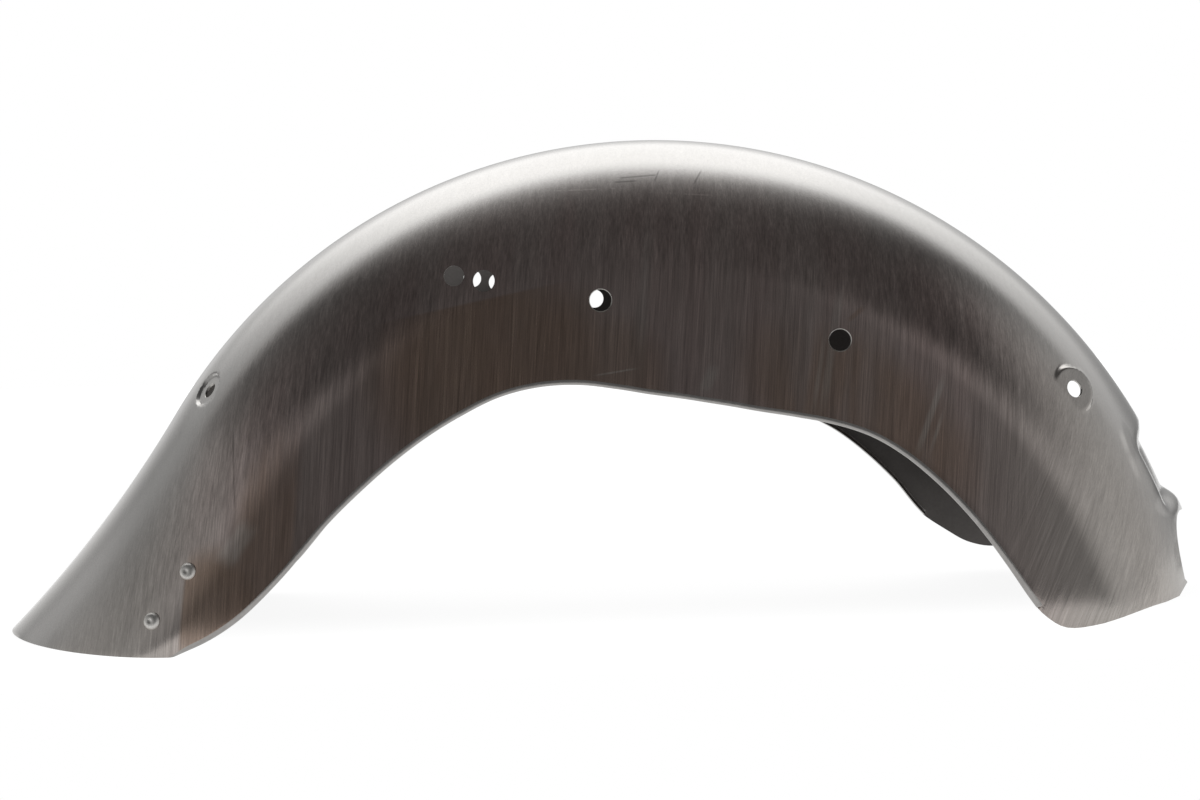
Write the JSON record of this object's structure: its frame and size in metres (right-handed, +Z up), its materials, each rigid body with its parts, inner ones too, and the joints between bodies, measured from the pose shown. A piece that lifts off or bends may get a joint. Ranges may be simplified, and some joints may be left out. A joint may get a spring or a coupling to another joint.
{
  "type": "motorcycle rear fender",
  "caption": "Bare pressed-steel rear fender for a cruiser motorcycle: deep side walls with rolled lips, flared tail, strut holes, lamp and front bolt seats, riveted tail brace.",
  "frame": {"origin": "centre of the box's footprint, on the surface that the tail edge and the right front flap stand on", "axes": "+X to the front of the motorcycle, +Y to the rider's left, +Z up"},
  "size_m": [0.8418, 0.2002, 0.3375],
  "materials": {
    "sheet_steel": "bare cold-rolled sheet with a fine upright grain, brown oxide bands and an oil film",
    "brace_steel": "bare dull steel strap",
    "rivet_steel": "bare satin steel"
  },
  "bodies": {
    "root": {"fender_shell": "sheet_steel", "tail_brace": "brace_steel", "rivet_right_upper": "rivet_steel", "rivet_right_lower": "rivet_steel", "rivet_left_upper": "rivet_steel", "rivet_left_lower": "rivet_steel"}
  },
  "joints": []
}
